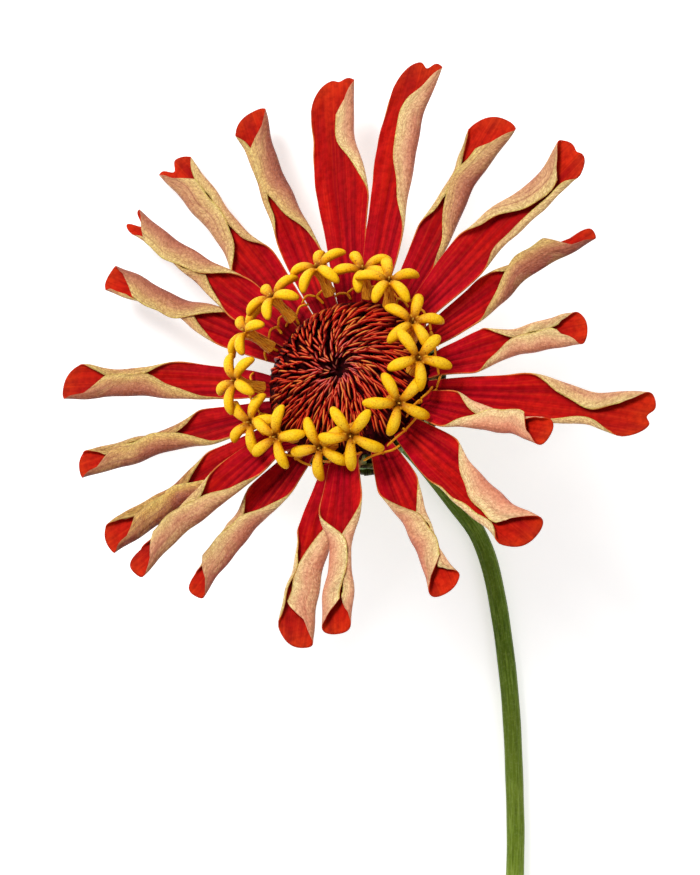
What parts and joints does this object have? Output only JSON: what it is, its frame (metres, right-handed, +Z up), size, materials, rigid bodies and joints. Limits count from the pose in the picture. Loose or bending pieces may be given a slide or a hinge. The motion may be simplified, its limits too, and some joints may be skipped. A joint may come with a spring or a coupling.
{
  "type": "zinnia flower",
  "caption": "Single zinnia head with rolled red petals, a ring of yellow disc florets around a dark red chaffy centre, green bracts and a cut stem, lying face up",
  "frame": {"origin": "under the middle of the whole flower, on the surface that it lies on", "axes": "+X right, +Y from the cut end of the stem towards the head, +Z up from the surface"},
  "size_m": [0.073, 0.1562, 0.046],
  "materials": {
    "ray_petal": "velvety red face, tan and yellow-green underside with fine veins",
    "disc_floret": "fuzzy golden yellow lobes on orange-brown tubes",
    "chaff": "papery dark red scales with fringed orange-pink tips",
    "bract": "waxy green with pale margins",
    "stem": "finely ribbed olive green with short hairs"
  },
  "bodies": {
    "root": {"ray_petal_01": "ray_petal", "ray_petal_02": "ray_petal", "ray_petal_03": "ray_petal", "ray_petal_04": "ray_petal", "ray_petal_05": "ray_petal", "ray_petal_06": "ray_petal", "ray_petal_07": "ray_petal", "ray_petal_08": "ray_petal", "ray_petal_09": "ray_petal", "ray_petal_10": "ray_petal", "ray_petal_11": "ray_petal", "ray_petal_12": "ray_petal", "ray_petal_13": "ray_petal", "ray_petal_14": "ray_petal", "ray_petal_15": "ray_petal", "ray_petal_16": "ray_petal", "ray_petal_17": "ray_petal", "ray_petal_18": "ray_petal", "ray_petal_19": "ray_petal", "ray_petal_20": "ray_petal", "ray_petal_21": "ray_petal", "disc_floret_01": "disc_floret", "disc_floret_02": "disc_floret", "disc_floret_03": "disc_floret", "disc_floret_04": "disc_floret", "disc_floret_05": "disc_floret", "disc_floret_06": "disc_floret", "disc_floret_07": "disc_floret", "disc_floret_08": "disc_floret", "disc_floret_09": "disc_floret", "disc_floret_10": "disc_floret", "disc_floret_11": "disc_floret", "disc_floret_12": "disc_floret", "disc_floret_13": "disc_floret", "inner_bract_01": "bract", "inner_bract_02": "bract", "inner_bract_03": "bract", "inner_bract_04": "bract", "inner_bract_05": "bract", "inner_bract_06": "bract", "inner_bract_07": "bract", "inner_bract_08": "bract", "inner_bract_09": "bract", "inner_bract_10": "bract", "inner_bract_11": "bract", "inner_bract_12": "bract", "inner_bract_13": "bract", "outer_bract_01": "bract", "outer_bract_02": "bract", "outer_bract_03": "bract", "outer_bract_04": "bract", "outer_bract_05": "bract", "outer_bract_06": "bract", "outer_bract_07": "bract", "outer_bract_08": "bract", "receptacle": "bract", "chaffy_disc": "chaff", "stem": "stem"}
  },
  "joints": []
}
